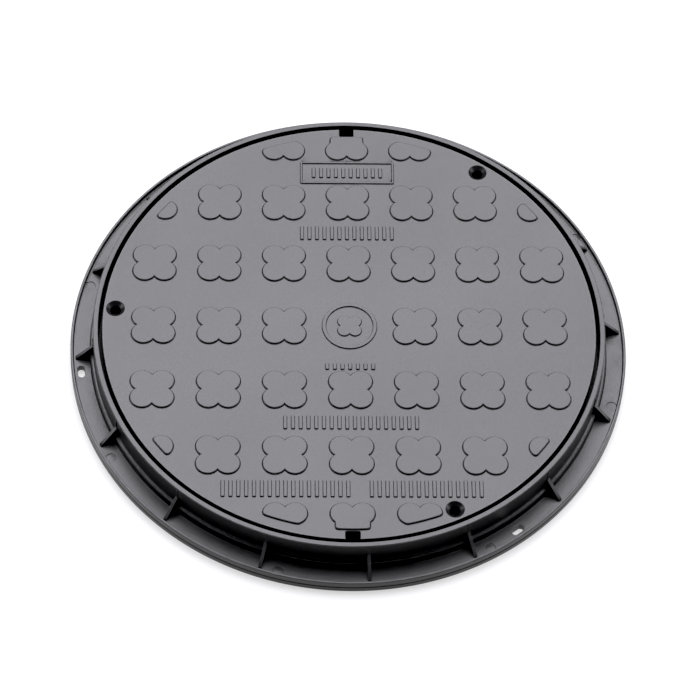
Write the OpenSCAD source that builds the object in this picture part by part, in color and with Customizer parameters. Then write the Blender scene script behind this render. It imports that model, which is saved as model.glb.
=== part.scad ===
// Round screw-down cover and frame for an inspection chamber.
// Millimetres. Z is up, the frame stands on z = 0 and its axis is the Z axis.
// +Y is the side of the rear lifting notch, -Y the side of the front one.

/* [Cover] */
// Diameter of the cover
cover_d = 454; // [400:1:560]
// Thickness of the cover's top plate
plate_t = 4; // [3:0.5:5]
// Thickness of the cover's skirt, which stands on the seal
skirt_t = 5; // [4:0.5:6]
// Chamfer round the cover's top edge
edge_chamfer = 1; // [0.5:0.1:1.5]

/* [Tread] */
// Distance between tread lugs from left to right
lug_pitch_x = 60; // [52:1:80]
// Distance between tread lugs from front to back
lug_pitch_y = 70; // [52:1:90]
// Radius of each of the four lobes of a lug
lobe_r = 11; // [9:0.5:12]
// Distance of a lobe's centre from the middle of its lug, along X and along Y
lobe_offset = 9; // [7:0.5:10]
// Height of the lugs above the plate
lug_h = 1.8; // [1:0.1:3]
// Plain margin between the lugs and the cover's edge
lug_margin = 9.5; // [6:0.5:14]

/* [Raised marks] */
// Height of the plain bars, border and ring on the cover
mark_h = 1.4; // [0.6:0.1:2]
// Width of one plain bar
bar_w = 3; // [2:0.5:5]
// Distance from one plain bar to the next
bar_pitch = 7; // [6:0.5:10]
// Width of the raised line of the border and the ring
line_w = 1.6; // [1:0.2:3]
// Outer radius of the ring in the middle of the cover
ring_r = 25; // [20:1:28]

/* [Lifting notches] */
// Width of each lifting notch
notch_w = 13; // [10:0.5:18]
// Depth of each lifting notch, inward from the cover's edge
notch_l = 8; // [6.5:0.5:12]

/* [Underside of the cover] */
// Thickness of the ribs
rib_t = 3; // [2:0.5:4]
// Distance from one ring of ribs to the next
rib_ring_pitch = 45; // [36:1:60]
// Number of ribs that run outwards
rib_n = 24; // [16:1:36]
// How far the ribs stop above the foot of the skirt
rib_lift = 3; // [2:0.5:8]

/* [Frame] */
// Overall height of the frame
frame_h = 41; // [38:1:60]
// How far the rim stands above the cover's plate
rim_proud = 1; // [0:0.5:3]
// Gap between the cover's edge and the rim
edge_gap = 3.8; // [2:0.2:6]
// Thickness of the rim
rim_t = 4.7; // [3.5:0.1:7]
// How far the step below the rim stands out
step_w = 3; // [2:0.5:5]
// Height of the step
step_z = 17; // [15:0.5:22]
// Width of the flange, outward from the step
flange_w = 18.5; // [18.5:0.5:30]
// Height of the flange's upper face
flange_z = 8.5; // [7:0.5:10]
// Thickness of the flange
flange_t = 4; // [3:0.5:5]
// Height of the kerb round the flange
kerb_h = 13; // [11:0.5:16]
// Thickness of the kerb
kerb_t = 2.5; // [2:0.1:4]
// Height of the seal's ledge inside the rim
ledge_z = 14; // [12:0.5:15]
// Thickness of the ledge
ledge_t = 4; // [3:0.5:5]
// Width of the ledge, inward from the rim
ledge_w = 26.8; // [24:0.1:40]
// Thickness of the throat's wall
throat_t = 4; // [3:0.5:6]

/* [Gussets] */
// Number of gussets round the frame
gusset_n = 16; // [8:1:24]
// Angle of the first gusset from the X axis
gusset_start = 3.5; // [0:0.5:20]
// Thickness of a gusset
gusset_t = 3.4; // [2.5:0.1:5]
// Height of a gusset's top
gusset_h = 28; // [22:1:34]
// How far a gusset reaches out over the flange from the step
gusset_reach = 14; // [8:0.5:15]

/* [Fixing slots] */
// Number of slots through the flange
slot_n = 3; // [2:1:4]
// Angle of the first slot from the X axis
slot_start = 67; // [60:1:70]
// Length of a slot, along the flange
slot_l = 12.4; // [8:0.2:16]
// Width of a slot
slot_w = 6.5; // [5:0.5:8]
// Distance of the slots' middle line from the flange's edge
slot_inset = 9; // [8:0.5:10]

/* [Seal] */
// Thickness of the seal under the skirt
seal_t = 3; // [2:0.5:5]
// Width of the seal
seal_w = 9; // [7:0.5:9.5]

/* [Screws] */
// Number of screws
screw_n = 3; // [3:3:3]
// Angle of the first screw from the X axis
screw_start = 55; // [50:1:60]
// Distance of the screws from the cover's edge
screw_inset = 11; // [10:0.5:12]
// Diameter of the thread
screw_d = 5; // [4:0.5:6]
// Length of the screw under its head
screw_l = 16; // [14:0.5:18]
// Diameter of the screw's head
head_d = 8.5; // [8:0.5:9]
// Height of the screw's head
head_h = 5; // [4:0.5:6]
// Width across the flats of the key socket in the head
key_w = 4; // [3:0.5:5]
// Thickness of the washer under the head
washer_t = 1; // [0.6:0.1:1.6]
// Diameter of the mouth of each screw hole
mouth_d = 17; // [14:0.5:18]
// Plastic left under the washer
seat_t = 3.2; // [2.5:0.1:4]
// Outer diameter of the threaded insert in the frame
insert_d = 7; // [6.8:0.1:8]
// Length of the threaded insert
insert_l = 9.5; // [8:0.5:11]
// Outer diameter of the frame's bosses
boss_d = 18; // [16:0.5:20]

/* [Clearances] */
// Radial clearance of the thread in its insert
thread_gap = 0.05; // [0.02:0.01:0.1]
// Radial clearance of the screw in the cover
shank_gap = 0.5; // [0.3:0.1:1]
// Radial clearance of the washer on the screw
washer_gap = 0.2; // [0.1:0.05:0.4]
// Radial clearance round the washer in its hole
bore_gap = 0.3; // [0.3:0.05:0.6]
// How far the washer stands out past the screw's head
washer_lip = 0.25; // [0:0.05:0.5]
// Radial clearance of the insert in its boss
insert_gap = 0.02; // [0.01:0.01:0.05]
// Gap between the cover's bosses and the frame's bosses, above the seal
boss_gap = 0.3; // [0.3:0.1:1]

/* [Hidden] */
$fn = 120;
cut = 1;                                   // how far a cutting tool runs past a face
merge = 1;                                 // how far a piece of one moulding runs into the next

cover_r = cover_d / 2;
cover_z = frame_h - rim_proud;             // upper face of the plate
rim_in_r = cover_r + edge_gap;
rim_out_r = rim_in_r + rim_t;
step_r = rim_out_r + step_w;
flange_r = step_r + flange_w;
throat_r = rim_in_r - ledge_w;             // clear opening of the frame
skirt_z = ledge_z + seal_t;                // foot of the skirt
rib_z = skirt_z + rib_lift;
skirt_in_r = cover_r - skirt_t;
seal_out_r = rim_in_r - 1;

field_r = cover_r - lug_margin;            // lugs are trimmed to this radius
lobe_keep_r = field_r - 0.5;               // a lobe whose middle lies beyond this is left out
lug_cols = floor(cover_r / lug_pitch_x);
lug_rows = floor(cover_r / lug_pitch_y);

screw_r = cover_r - screw_inset;
bore_r = head_d / 2 + washer_lip + bore_gap;
boss_z = skirt_z + boss_gap;               // lower face of the cover's bosses
seat_z = boss_z + seat_t;                  // upper face of the seat under the washer
head_z = seat_z + washer_t;
insert_z = ledge_z - insert_l;

slot_r = flange_r - slot_inset;

pin_mark_d = 9.5;                          // shallow round moulding marks on the flange
pin_mark_n = gusset_n / 2;                 // one beside every second gusset
pin_mark_depth = 0.4;
pin_mark_r = (step_r + flange_r - kerb_t) / 2 + 3;
pin_mark_start = gusset_start + 360 / gusset_n + 3.7;

// Places its children once at each of n even steps round the axis
module around(n, start, r = 0) {
    for (i = [0 : n - 1])
        rotate([0, 0, start + i * 360 / n])
            translate([r, 0, 0])
                children();
}

// Places its children at the screw with the given number, counted from 1
module at_screw(number) {
    rotate([0, 0, screw_start + (number - 1) * 360 / screw_n])
        translate([screw_r, 0, 0])
            children();
}

// A ring between two radii and two heights
module ring(r_in, r_out, z_low, z_high) {
    translate([0, 0, z_low])
        difference() {
            cylinder(h = z_high - z_low, r = r_out);
            translate([0, 0, -cut])
                cylinder(h = z_high - z_low + 2 * cut, r = r_in);
        }
}

// An upright web that runs outwards between two radii and two heights
module web(r_in, r_out, z_low, z_high, thickness) {
    translate([r_in, -thickness / 2, z_low])
        cube([r_out - r_in, thickness, z_high - z_low]);
}

// ---- Frame ----

// Half section of the frame: throat, ledge, rim, step, flange and kerb
module frame_section() {
    lower_in_r = step_r - flange_t;
    edge = 0.8;
    polygon([
        [throat_r, 0],
        [throat_r + throat_t, 0],
        [throat_r + throat_t, ledge_z - ledge_t],
        [lower_in_r, ledge_z - ledge_t],
        [lower_in_r, flange_z - flange_t],
        [flange_r - kerb_t, flange_z - flange_t],
        [flange_r - kerb_t, 0],
        [flange_r, 0],
        [flange_r, kerb_h - edge],
        [flange_r - edge, kerb_h],
        [flange_r - kerb_t, kerb_h],
        [flange_r - kerb_t, flange_z],
        [step_r, flange_z],
        [step_r, step_z],
        [rim_out_r, step_z],
        [rim_out_r, frame_h - edge],
        [rim_out_r - edge, frame_h],
        [rim_in_r + edge, frame_h],
        [rim_in_r, frame_h - edge],
        [rim_in_r, ledge_z],
        [throat_r, ledge_z]
    ]);
}

// One gusset with the fine upright rib that carries its line up the rim
module gusset() {
    tip_r = step_r + gusset_reach;
    tip_h = 1;
    fine_rib_t = 1.6;
    fine_rib_w = 0.8;
    rotate([90, 0, 0])
        linear_extrude(height = gusset_t, center = true)
            polygon([
                [rim_out_r - merge, flange_z - merge],
                [tip_r, flange_z - merge],
                [tip_r, flange_z + tip_h],
                [rim_out_r + fine_rib_w, gusset_h],
                [rim_out_r - merge, gusset_h]
            ]);
    web(rim_out_r - merge, rim_out_r + fine_rib_w, gusset_h - merge, frame_h - 2, fine_rib_t);
}

// Slot through the flange with round ends, lying along the flange
module slot() {
    straight = slot_l - slot_w;
    translate([0, 0, flange_z - flange_t - cut])
        linear_extrude(height = flange_t + 2 * cut)
            union() {
                square([slot_w, straight], center = true);
                for (end = [-1, 1])
                    translate([0, end * straight / 2])
                        circle(d = slot_w, $fn = 48);
            }
}

module frame() {
    web_t = 3;
    web_lift = 1;
    lower_in_r = step_r - flange_t;
    color([0.13, 0.13, 0.14])
        difference() {
            union() {
                rotate_extrude()
                    frame_section();
                around(gusset_n, gusset_start)
                    gusset();
                around(gusset_n, gusset_start)
                    web(throat_r + throat_t - merge, lower_in_r + merge, web_lift, ledge_z - merge, web_t);
                around(gusset_n, gusset_start)
                    web(lower_in_r + merge, flange_r - kerb_t + merge, web_lift, flange_z - merge, web_t);
                around(screw_n, screw_start, screw_r)
                    cylinder(h = ledge_z, d = boss_d);
            }
            around(screw_n, screw_start, screw_r) {
                translate([0, 0, insert_z])
                    cylinder(h = insert_l + cut, r = insert_d / 2 + insert_gap);
                translate([0, 0, -cut])
                    cylinder(h = ledge_z, r = screw_d / 2 + shank_gap);
            }
            around(slot_n, slot_start, slot_r)
                slot();
            around(pin_mark_n, pin_mark_start, pin_mark_r)
                translate([0, 0, flange_z - pin_mark_depth])
                    cylinder(h = pin_mark_depth + cut, d = pin_mark_d, $fn = 48);
        }
}

// ---- Cover ----

// True where the middle of a lobe lies far enough in from the cover's edge
function lobe_kept(col, row, sx, sy) =
    norm([col * lug_pitch_x + sx * lobe_offset, row * lug_pitch_y + sy * lobe_offset]) < lobe_keep_r;

// Outline of one lug, with only the lobes that lie inside the field
module lug_outline(col, row) {
    sign_y = row < 0 ? -1 : 1;
    all_four = min([for (sx = [-1, 1]) for (sy = [-1, 1]) lobe_kept(col, row, sx, sy) ? 1 : 0]) == 1;
    inner_two = !all_four && lobe_kept(col, row, -1, -sign_y) && lobe_kept(col, row, 1, -sign_y);
    translate([col * lug_pitch_x, row * lug_pitch_y]) {
        for (sx = [-1, 1])
            for (sy = [-1, 1])
                if (lobe_kept(col, row, sx, sy))
                    translate([sx * lobe_offset, sy * lobe_offset])
                        circle(r = lobe_r, $fn = 64);
        if (all_four)
            square(2 * lobe_offset, center = true);
        if (inner_two)
            mirror([0, row < 0 ? 1 : 0])
                tongue(col == 0);
    }
}

// Outward end of a lug at the edge of the field, past its two inner lobes
module tongue(square_end) {
    shoulder = lobe_offset + lobe_r;
    waist = square_end ? 15.5 : 12.5;
    waist_y = square_end ? -1 : 3;
    reach = 2 * lobe_offset;
    polygon([
        [-shoulder, -lobe_offset],
        [-shoulder, -lobe_offset + 2],
        [-waist, waist_y],
        [-waist, reach],
        [waist, reach],
        [waist, waist_y],
        [shoulder, -lobe_offset + 2],
        [shoulder, -lobe_offset]
    ]);
}

// Every tread lug, trimmed to the field and clear of the middle of the cover
module tread() {
    translate([0, 0, cover_z - merge])
        linear_extrude(height = lug_h + merge)
            intersection() {
                circle(r = field_r);
                union()
                    for (row = [-lug_rows : lug_rows])
                        for (col = [-lug_cols : lug_cols])
                            if (norm([col, row]) > 0)
                                lug_outline(col, row);
            }
}

// A row of plain upright bars between two X positions
module bar_row(x_low, x_high, y_mid, height) {
    n = floor((x_high - x_low - bar_w) / bar_pitch);
    start = (x_low + x_high - n * bar_pitch) / 2;
    for (i = [0 : n])
        translate([start + i * bar_pitch, y_mid])
            square([bar_w, height], center = true);
}

// Height of the middle of the gap above the given row of lugs
function gap_y(row) = (row + 0.5) * lug_pitch_y;

// The plain raised marks: bar rows, an empty border and a ring round a small lug
module marks() {
    border = [88, 25];
    translate([0, 0, cover_z - merge])
        linear_extrude(height = mark_h + merge)
            intersection() {
                circle(r = field_r);
                union() {
                    bar_row(-47, 45, gap_y(1), 15);
                    bar_row(-24, 24, gap_y(-1) - ring_r / 2, 8);
                    bar_row(-64, 64, gap_y(-2), 14);
                    bar_row(-120, 1, gap_y(-3), 17);
                    bar_row(14, 119, gap_y(-3), 17);
                    bar_row(-34, 34, gap_y(2), 11);
                    translate([0, gap_y(2)])
                        outline_of(border);
                    difference() {
                        circle(r = ring_r);
                        circle(r = ring_r - 2 * line_w);
                    }
                    small_lug();
                }
            }
}

// A rectangle drawn with a line of the marks' own width
module outline_of(size) {
    difference() {
        square(size, center = true);
        square(size - 2 * [line_w, line_w], center = true);
    }
}

// Four small lobes inside the ring
module small_lug() {
    share = 0.55;
    for (sx = [-1, 1])
        for (sy = [-1, 1])
            translate([sx, sy] * lobe_offset * share)
                circle(r = lobe_r * share, $fn = 64);
    square(2 * lobe_offset * share, center = true);
}

// Box that cuts a lifting notch in from the cover's edge, on the +X side
module notch_cut() {
    translate([cover_r - notch_l, -notch_w / 2, skirt_z - cut])
        cube([notch_l + cut, notch_w, cover_z + lug_h - skirt_z + 2 * cut]);
}

// Wall behind and beside a lifting notch
module notch_wall() {
    wall = 3;
    translate([cover_r - notch_l - wall, -notch_w / 2 - wall, skirt_z])
        cube([notch_l, notch_w + 2 * wall, cover_z - skirt_z - merge]);
}

// Screw hole from above: wide mouth, bore for the head and hole for the thread
module screw_hole() {
    mouth_depth = mouth_d / 2 - bore_r;
    translate([0, 0, cover_z - mouth_depth])
        cylinder(h = mouth_depth + cut, r1 = bore_r, r2 = mouth_d / 2 + cut);
    translate([0, 0, seat_z])
        cylinder(h = cover_z - seat_z, r = bore_r);
    translate([0, 0, boss_z - cut])
        cylinder(h = seat_t + 2 * cut, r = screw_d / 2 + shank_gap);
}

module cover() {
    hub_r = 14;
    ring_n = floor((skirt_in_r - rib_t) / rib_ring_pitch);
    color([0.15, 0.15, 0.16])
        difference() {
            union() {
                rotate_extrude()
                    polygon([
                        [0, cover_z - plate_t],
                        [skirt_in_r, cover_z - plate_t],
                        [skirt_in_r, skirt_z],
                        [cover_r, skirt_z],
                        [cover_r, cover_z - edge_chamfer],
                        [cover_r - edge_chamfer, cover_z],
                        [0, cover_z]
                    ]);
                for (i = [1 : ring_n])
                    ring(i * rib_ring_pitch - rib_t / 2, i * rib_ring_pitch + rib_t / 2,
                         rib_z, cover_z - merge);
                ring(hub_r - rib_t, hub_r, rib_z, cover_z - merge);
                around(rib_n / 3, 0)
                    web(hub_r - merge, rib_ring_pitch, rib_z, cover_z - merge, rib_t);
                around(rib_n, 0)
                    web(rib_ring_pitch, skirt_in_r + merge, rib_z, cover_z - merge, rib_t);
                around(screw_n, screw_start, screw_r)
                    translate([0, 0, boss_z])
                        cylinder(h = cover_z - boss_z - merge, d = boss_d);
                around(2, 90)
                    notch_wall();
                tread();
                marks();
            }
            around(screw_n, screw_start, screw_r)
                screw_hole();
            around(2, 90)
                notch_cut();
        }
}

// ---- Seal ----

module seal() {
    color([0.08, 0.08, 0.08])
        ring(seal_out_r - seal_w, seal_out_r, ledge_z, ledge_z + seal_t);
}

// ---- Fixings ----

// Cap-head screw, thread downwards, with a six-sided key socket
module screw(number) {
    key_depth = head_h / 2;
    color([0.2, 0.2, 0.21])
        at_screw(number)
            difference() {
                union() {
                    translate([0, 0, head_z])
                        cylinder(h = head_h, d = head_d, $fn = 48);
                    translate([0, 0, head_z - screw_l])
                        cylinder(h = screw_l + merge, d = screw_d, $fn = 48);
                }
                translate([0, 0, head_z + head_h - key_depth])
                    cylinder(h = key_depth + cut, d = key_w / cos(30), $fn = 6);
            }
}

// Flat washer that stays under the screw's head
module washer(number) {
    color([0.55, 0.56, 0.58])
        at_screw(number)
            ring(screw_d / 2 + washer_gap, head_d / 2 + washer_lip, seat_z, seat_z + washer_t);
}

// Brass insert with the thread, set flush in the frame's boss
module insert(number) {
    color([0.7, 0.55, 0.25])
        at_screw(number)
            ring(screw_d / 2 + thread_gap, insert_d / 2, insert_z, ledge_z);
}

frame();
cover();
seal();
screw(1);  // screw_1
screw(2);  // screw_2
screw(3);  // screw_3
washer(1);  // washer_1
washer(2);  // washer_2
washer(3);  // washer_3
insert(1);  // insert_1
insert(2);  // insert_2
insert(3);  // insert_3
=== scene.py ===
import math

import bpy
import numpy as np
from bpy.props import FloatProperty, FloatVectorProperty, IntProperty, PointerProperty
from mathutils import Matrix, Vector


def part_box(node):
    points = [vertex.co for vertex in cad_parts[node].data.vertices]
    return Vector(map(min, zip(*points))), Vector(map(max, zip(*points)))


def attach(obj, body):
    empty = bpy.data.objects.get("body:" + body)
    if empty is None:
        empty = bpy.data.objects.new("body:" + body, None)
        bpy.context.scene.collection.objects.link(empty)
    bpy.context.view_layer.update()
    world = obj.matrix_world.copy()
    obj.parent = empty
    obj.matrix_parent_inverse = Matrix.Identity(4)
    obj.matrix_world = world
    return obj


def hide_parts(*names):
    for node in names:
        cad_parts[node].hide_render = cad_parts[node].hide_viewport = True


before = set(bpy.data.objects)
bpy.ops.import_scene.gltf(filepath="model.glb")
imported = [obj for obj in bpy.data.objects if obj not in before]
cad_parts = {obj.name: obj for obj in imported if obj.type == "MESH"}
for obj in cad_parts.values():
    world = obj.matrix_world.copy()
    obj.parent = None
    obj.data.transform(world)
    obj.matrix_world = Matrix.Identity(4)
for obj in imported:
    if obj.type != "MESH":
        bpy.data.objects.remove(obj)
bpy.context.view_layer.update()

bl_info = {
    "name": "Screw-down access cover and frame",
    "version": (1, 0, 0),
    "blender": (4, 5, 0),
    "location": "3D View > Sidebar > Access Cover",
    "description": "Builds a round moulded plastic access cover, its ring frame and its fixings",
    "category": "Add Mesh",
}

# Mesh code works in millimetres. Meshes are scaled to metres as they are made.
MM = 0.001


def node_box(node):
    """Lowest and highest corner of a frame node in millimetres."""
    low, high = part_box(node)
    return np.array(low) / MM, np.array(high) / MM


FRAME_HIGH = node_box("frame")[1]
COVER_LOW, COVER_HIGH = node_box("cover")
SEAL_LOW, SEAL_HIGH = node_box("seal")
SCREW_LOW, SCREW_HIGH = node_box("screw_1")
WASHER_LOW, WASHER_HIGH = node_box("washer_1")
INSERT_LOW, INSERT_HIGH = node_box("insert_1")

SCREW_COUNT = 3
SCREW_PLACES = [
    (low + high)[:2] / 2
    for low, high in (node_box(f"screw_{i + 1}") for i in range(SCREW_COUNT))
]

# Radii and heights from the frame, in millimetres. Heights are from the ground.
COVER_R = COVER_HIGH[0]
FLANGE_R = FRAME_HIGH[0]
RIM_Z = FRAME_HIGH[2]
PLATE_Z = RIM_Z - 1.0
LUG_Z = COVER_HIGH[2]
SKIRT_Z = COVER_LOW[2]
LEDGE_Z = SEAL_LOW[2]
BOSS_Z = SKIRT_Z + 0.3
SEAT_Z = WASHER_LOW[2]

# The rest of the mouldings: R is a radius, Z a height and T a thickness.
PLATE_T = 4.0
SKIRT_T = 5.0
FIELD_R = COVER_R - 9.5
RIM_IN_R = COVER_R + 3.8
RIM_OUT_R = RIM_IN_R + 4.7
STEP_R = RIM_OUT_R + 3.0
STEP_Z = 17.0
THROAT_R = RIM_IN_R - 26.8
THROAT_T = 4.0
FLANGE_Z = 8.5
FLANGE_T = 4.0
KERB_Z = 13.0
KERB_T = 2.5
STEP_UNDER_R = STEP_R - FLANGE_T
RIB_TOP_Z = PLATE_Z - PLATE_T + 2.0
RIB_LOW_Z = SKIRT_Z + 3.0
RIB_RING_PITCH = 45.0
HUB_R = 14.0
BOSS_R = 9.0
BOSS_SIDES = 64

# The screws and what they stand in.
BORE_R = 4.8
SHANK_HOLE_R = 3.0
MOUTH_R = 8.5
INSERT_HOLE_R = 3.52
THREAD_R = 2.49
SCREW_TURN = 47.0
WASHER_HOLE_R = 2.7
SEAL_WIDTH = 9.0

# What repeats round the ring. START is the angle of the first one, in degrees.
GUSSET_COUNT = 16
GUSSET_START = 3.5
SLOT_COUNT = 3
SLOT_START = 67.0
SLOT_R = FLANGE_R - 9.0
SLOT_COLLAR_Z = 1.4
SLOT_COLLAR_T = 1.9
NOTCH_START = 90.0
PIN_MARK_COUNT = 8
PIN_MARK_START = GUSSET_START + 360 / GUSSET_COUNT + 3.7
PIN_MARK_R = (STEP_R + FLANGE_R - KERB_T) / 2 + 3

# Edges that turn by more than this stay sharp.
SHARP_ANGLE = math.radians(38.0)
# Halvings in the search for an outline along a ray.
SEARCH_STEPS = 26

# The corners of a square, the small lug's share of a lug's size, and how far a search goes.
SQUARE = np.array([(-1, -1), (1, -1), (1, 1), (-1, 1)])
SMALL_LUG = 0.55
LUG_REACH = 40.0
# Rows of bars: left end, right end, lug rows up from the middle, and height of the bars.
BAR_ROWS = (
    (-47, 45, 1.5, 15), (-64, 64, -1.5, 14), (-120, 1, -2.5, 17), (14, 119, -2.5, 17),
    (-34, 34, 2.5, 11),
)
RING_ROW_GAP = 19.5
# Waist of a trimmed lug, half its width and its distance out, beside a notch or not.
NOTCH_WAIST, SIDE_WAIST = (15.5, -1), (12.5, 3)
# Border: half its width, half its height and its corner radius.
BORDER, BORDER_ROW = (44, 12.5, 1.2), 2.5
# How far the raised detail reaches down into the plate.
SUNK = 0.5

# The studio. Lights and camera are placed in metres, and the floor is in millimetres.
FLOOR_HALF = 6000.0
FLOOR_T = 20.0
STUDIO_NAMES = ("studio_floor", "key_softbox", "left_softbox", "right_softbox", "camera")
LIGHT_COLOUR = (1.0, 0.985, 1.05)
WORLD_COLOUR = (0.97, 0.98, 1.0, 1.0)
LIGHT_TARGET = (0, 0, 0.04)
KEY_PLACE, KEY_SIZE = (0.05, 1.02, 1.93), (2.6, 2.2)
SIDE_REACH, SIDE_HEIGHT, SIDE_SIZE = 1.9, 0.45, (1.0, 0.6)
CAMERA_TARGET = (0.0001, -0.0261, PLATE_Z * MM)


# ---- Outlines ----


def angles(count, start=0.0):
    """Even angles round a full turn, in radians."""
    return math.radians(start) + np.arange(count) * 2 * math.pi / count


def circle(radius, count):
    """Points round a circle. Radius is one number or one for each point."""
    turn = angles(count)
    return np.stack([radius * np.cos(turn), radius * np.sin(turn)], 1)


def rounded_rectangle(half_x, half_y, radius, inset=0.0, steps=4):
    """Points round a rectangle with round corners, moved inwards by inset."""
    half_x, half_y, radius = half_x - inset, half_y - inset, max(radius - inset, 0.04)
    points = []
    for corner, (sx, sy) in enumerate(((1, 1), (-1, 1), (-1, -1), (1, -1))):
        for turn in np.linspace(0, math.pi / 2, steps + 1) + corner * math.pi / 2:
            points.append(
                (
                    sx * (half_x - radius) + radius * math.cos(turn),
                    sy * (half_y - radius) + radius * math.sin(turn),
                )
            )
    return np.array(points)


def filleted(corners, steps=3):
    """A closed profile of (x, y, radius) corners with each corner rounded to its radius."""
    points = []
    count = len(corners)
    for i, (x, y, radius) in enumerate(corners):
        here = np.array([x, y], float)
        back = np.array(corners[i - 1][:2], float) - here
        ahead = np.array(corners[(i + 1) % count][:2], float) - here
        if radius <= 0:
            points.append(here)
            continue
        room = min(np.linalg.norm(back), np.linalg.norm(ahead)) * 0.49
        back, ahead = back / np.linalg.norm(back), ahead / np.linalg.norm(ahead)
        half = math.acos(np.clip(np.dot(back, ahead), -1, 1)) / 2
        reach = min(radius / math.tan(half), room)
        radius = reach * math.tan(half)
        middle = here + (back + ahead) / np.linalg.norm(back + ahead) * radius / math.sin(half)
        start, end = here + back * reach - middle, here + ahead * reach - middle
        sweep = math.atan2(start[0] * end[1] - start[1] * end[0], np.dot(start, end))
        for share in np.linspace(0, 1, steps + 1):
            c, s = math.cos(sweep * share), math.sin(sweep * share)
            points.append(middle + (c * start[0] - s * start[1], s * start[0] + c * start[1]))
    return np.array(points)


def inset_polygon(points, distance):
    """A counterclockwise polygon moved inwards by distance, with mitred corners."""
    ahead = np.roll(points, -1, 0) - points
    ahead /= np.linalg.norm(ahead, axis=1)[:, None]
    normal = np.stack([ahead[:, 1], -ahead[:, 0]], 1)
    before = np.roll(normal, 1, 0)
    mitre = (normal + before) / (1 + np.sum(normal * before, 1))[:, None]
    return points - mitre * distance


def distance_to_circle(points, middle, radius):
    """Signed distance to a circle, negative inside."""
    return np.hypot(points[:, 0] - middle[0], points[:, 1] - middle[1]) - radius


def distance_to_polygon(points, corners):
    """Signed distance to a polygon, negative inside."""
    nearest = np.full(len(points), np.inf)
    inside = np.zeros(len(points), bool)
    for a, b in zip(corners, np.roll(corners, -1, 0)):
        edge, away = b - a, points - a
        share = np.clip(away @ edge / (edge @ edge), 0, 1)
        gap = np.linalg.norm(away - share[:, None] * edge, axis=1)
        nearest = np.minimum(nearest, gap)
        crosses = (a[1] > points[:, 1]) != (b[1] > points[:, 1])
        if abs(edge[1]) > 1e-9:
            inside ^= crosses & (
                points[:, 0] < edge[0] * (points[:, 1] - a[1]) / edge[1] + a[0]
            )
    return np.where(inside, -nearest, nearest)


def smooth_largest(a, b, blend):
    """The larger of two distances, with the corner between them rounded."""
    overlap = np.maximum(blend - np.abs(a - b), 0) / blend
    return np.maximum(a, b) + overlap * overlap * blend / 4


def outline_at(distance, middle, turns, level, reach):
    """Points where a star-shaped distance field equals level, one along each direction."""
    direction = np.stack([np.cos(turns), np.sin(turns)], 1)
    low, high = np.zeros(len(turns)), np.full(len(turns), float(reach))
    for _ in range(SEARCH_STEPS):
        centre = (low + high) / 2
        outside = distance(middle + direction * centre[:, None]) > level
        high, low = np.where(outside, centre, high), np.where(outside, low, centre)
    return middle + direction * low[:, None]


# ---- Solids ----


def at_height(points, z):
    """Flat points lifted to one height."""
    return np.column_stack([points, np.full(len(points), float(z))])


class Solid:
    """Vertices and faces of one or more closed skins."""

    def __init__(self):
        self.vertices, self.faces = [], []

    def add(self, loops, closed=False):
        """A skin through loops of equal length, capped at both ends unless closed."""
        count, rows, base = len(loops[0]), len(loops), sum(map(len, self.vertices))
        self.vertices.append(np.vstack(loops))
        index = base + np.arange(rows * count).reshape(rows, count)
        after = np.roll(index, -1, 0) if closed else index[1:]
        here = index if closed else index[:-1]
        quads = np.stack([here, np.roll(here, -1, 1), np.roll(after, -1, 1), after], -1)
        self.faces += quads.reshape(-1, 4).tolist()
        if not closed:
            self.faces.append(index[0][::-1].tolist())
            self.faces.append(index[-1].tolist())
        return self

    def copied(self, moves):
        """Copies of this solid, each turned about Z by degrees and then moved."""
        source, result = np.vstack(self.vertices), Solid()
        for k, (turn, shift) in enumerate(moves):
            c, s = math.cos(math.radians(turn)), math.sin(math.radians(turn))
            moved = source @ np.array([[c, s, 0], [-s, c, 0], [0, 0, 1]]) + shift
            result.vertices.append(moved)
            result.faces += [[v + k * len(source) for v in face] for face in self.faces]
        return result

    def joined(self, *others):
        """This solid with others that don't touch it."""
        result = Solid()
        for solid in (self, *others):
            base = sum(map(len, result.vertices))
            result.vertices += solid.vertices
            result.faces += [[v + base for v in face] for face in solid.faces]
        return result

    def object(self, name):
        """A Blender object with this solid as its mesh, in metres."""
        mesh = bpy.data.meshes.new(name)
        mesh.from_pydata((np.vstack(self.vertices) * MM).tolist(), [], self.faces)
        mesh.validate()
        piece = bpy.data.objects.new(name, mesh)
        bpy.context.scene.collection.objects.link(piece)
        return piece


def around(solid, count, start, radius=0.0):
    """Copies of a solid made on the X axis, at even steps round the Z axis."""
    moves = []
    for i in range(count):
        turn = start + i * 360 / count
        angle = math.radians(turn)
        moves.append((turn, radius * np.array([math.cos(angle), math.sin(angle), 0])))
    return solid.copied(moves)


def at_screws(solid):
    """Copies of a solid made at the origin, one at each screw."""
    return solid.copied([(0, np.array([x, y, 0])) for x, y in SCREW_PLACES])


def revolved(profile, count, closed=True):
    """A profile of (radius, height) points turned round the Z axis, outer side going up."""
    return Solid().add([at_height(circle(r, count), z) for r, z in profile], closed)


def prism(half_x, half_y, radius, levels, middle_x=0.0, steps=4):
    """An upright round-cornered block. Levels give an inset and a height, lowest first."""
    loops = []
    for inset, z in levels:
        outline = rounded_rectangle(half_x, half_y, radius, inset, steps)
        loops.append(at_height(outline + (middle_x, 0), z))
    return Solid().add(loops)


def beam(profile, thickness, edge):
    """An upright web with round edges, from a counterclockwise (radius, height) profile."""
    loops = []
    steps = ((0, 1), (0.29, 0.29), (1, 0))
    for side, order in ((-1, steps), (1, steps[::-1])):
        for along, inwards in order:
            points = inset_polygon(profile, inwards * edge)
            y = side * (thickness / 2 - along * edge)
            loops.append(at_height(points, y)[:, [0, 2, 1]])
    return Solid().add(loops[::-1])


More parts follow.
